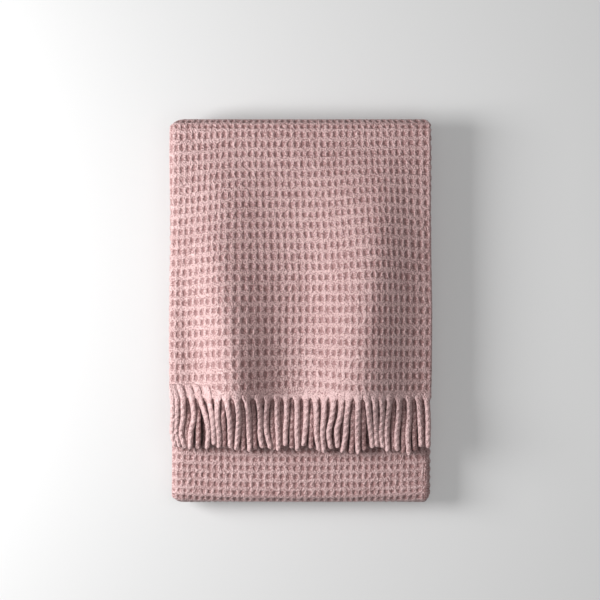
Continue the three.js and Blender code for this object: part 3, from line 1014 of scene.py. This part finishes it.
# %% Every piece gets its material and its place in the part
for piece in cloth_faces:
    piece.data.materials.append(waffle_cotton)
folded_sheet.data.materials.append(plain_cotton)
for piece in [root_strip, strand_rows[0]]:
    piece.data.materials.append(rope_cotton)
for piece in strand_rows[1:]:
    piece.data.materials.append(shaded_rope_cotton)
for piece in [folded_sheet, *cloth_faces]:
    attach(piece, "root")
    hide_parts("blanket")
for piece in [root_strip, *strand_rows]:
    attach(piece, "root")
    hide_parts("fringe")
print("cloth pieces:", len(cloth_faces) + 1, "fringe pieces:", len(strand_rows) + 1)

# %% [markdown]
# ## The floor
# The blanket lies on plain pale paper. Under lamps that are set for the pink, such paper would look
# grey. So it glows a little by itself, which keeps it nearly white beside a soft grey shadow.

# %% Floor
FLOOR_HALF = 6
floor_corners = [(x, y, 0) for x, y in [(-1, -1), (1, -1), (1, 1), (-1, 1)]]
floor_mesh = bpy.data.meshes.new("floor")
floor_mesh.from_pydata((FLOOR_HALF * np.array(floor_corners)).tolist(), [], [(0, 1, 2, 3)])
floor = bpy.data.objects.new("floor", floor_mesh)
bpy.context.scene.collection.objects.link(floor)
paper = Recipe("pale_paper")
paper.shader.inputs["Base Color"].default_value = (0.47, 0.47, 0.47, 1.0)
paper.shader.inputs["Emission Color"].default_value = (1.0, 1.0, 1.0, 1.0)
paper.shader.inputs["Emission Strength"].default_value = 0.25
paper.shader.inputs["Roughness"].default_value = 0.9
paper.shader.inputs["Specular IOR Level"].default_value = 0.1
floor.data.materials.append(paper.material)
print("the floor is", 2 * FLOOR_HALF, "m wide")


# %% [markdown]
# ## The light
# A wide soft lamp stands low on the left, like a window, so the ridges of the flap and the hollows
# have a pale side and a shaded one, and the shadow falls to the right with a soft edge. A weaker
# light from above and a grey sky fill the shade. The Standard view keeps the pinks as they are
# mixed, and a gamma below 1 darkens the shaded places more than the pale ones, as a camera's own
# curve does.

# %% Light
PILE_MIDDLE = (0, 0, 0.05)


def soft_lamp(name, place, size, watts):
    """A rectangular lamp, sizes in metres, turned to the middle of the pile."""
    lamp = bpy.data.lights.new(name, "AREA")
    lamp.shape = "RECTANGLE"
    lamp.size, lamp.size_y = size
    lamp.energy = watts
    holder = bpy.data.objects.new(name, lamp)
    holder.location = place
    aim = Vector(PILE_MIDDLE) - Vector(place)
    holder.rotation_euler = aim.to_track_quat("-Z", "Y").to_euler()
    bpy.context.scene.collection.objects.link(holder)
    print(name, "gives", watts, "W from", round(aim.length, 2), "m")


soft_lamp("window_left", (-1.15, 0.08, 0.86), (0.60, 0.80), 28)
soft_lamp("fill_above", (0.3, -0.1, 2.2), (1.6, 1.6), 11)
world = bpy.data.worlds.new("studio")
world.use_nodes = True
world.node_tree.nodes["Background"].inputs["Color"].default_value = (1.0, 1.0, 1.0, 1.0)
world.node_tree.nodes["Background"].inputs["Strength"].default_value = 0.27
bpy.context.scene.world = world
bpy.context.scene.view_settings.view_transform = "Standard"
bpy.context.scene.view_settings.gamma = 0.78

# %% [markdown]
# ## The camera
# It looks straight down from far above, so the sides of the pile hardly show. Its lens is worked
# out from the width of cloth that one pixel covers at the height of the pile's top.

# %% Camera
IMAGE_PIXELS = 600
MM_PER_PIXEL = 1.232
PILE_TOP = 0.058
CAMERA_Z = 2.6
view_width = IMAGE_PIXELS * MM_PER_PIXEL / 1000
camera_data = bpy.data.cameras.new("camera")
camera_data.sensor_width = 36.0
camera_data.lens = 36.0 * (CAMERA_Z - PILE_TOP) / view_width
camera = bpy.data.objects.new("camera", camera_data)
camera.location = (-0.0006, 0.0137, CAMERA_Z)
bpy.context.scene.collection.objects.link(camera)
bpy.context.scene.camera = camera
print("the lens is", round(camera_data.lens, 1), "mm long and sees", round(view_width, 3), "m")
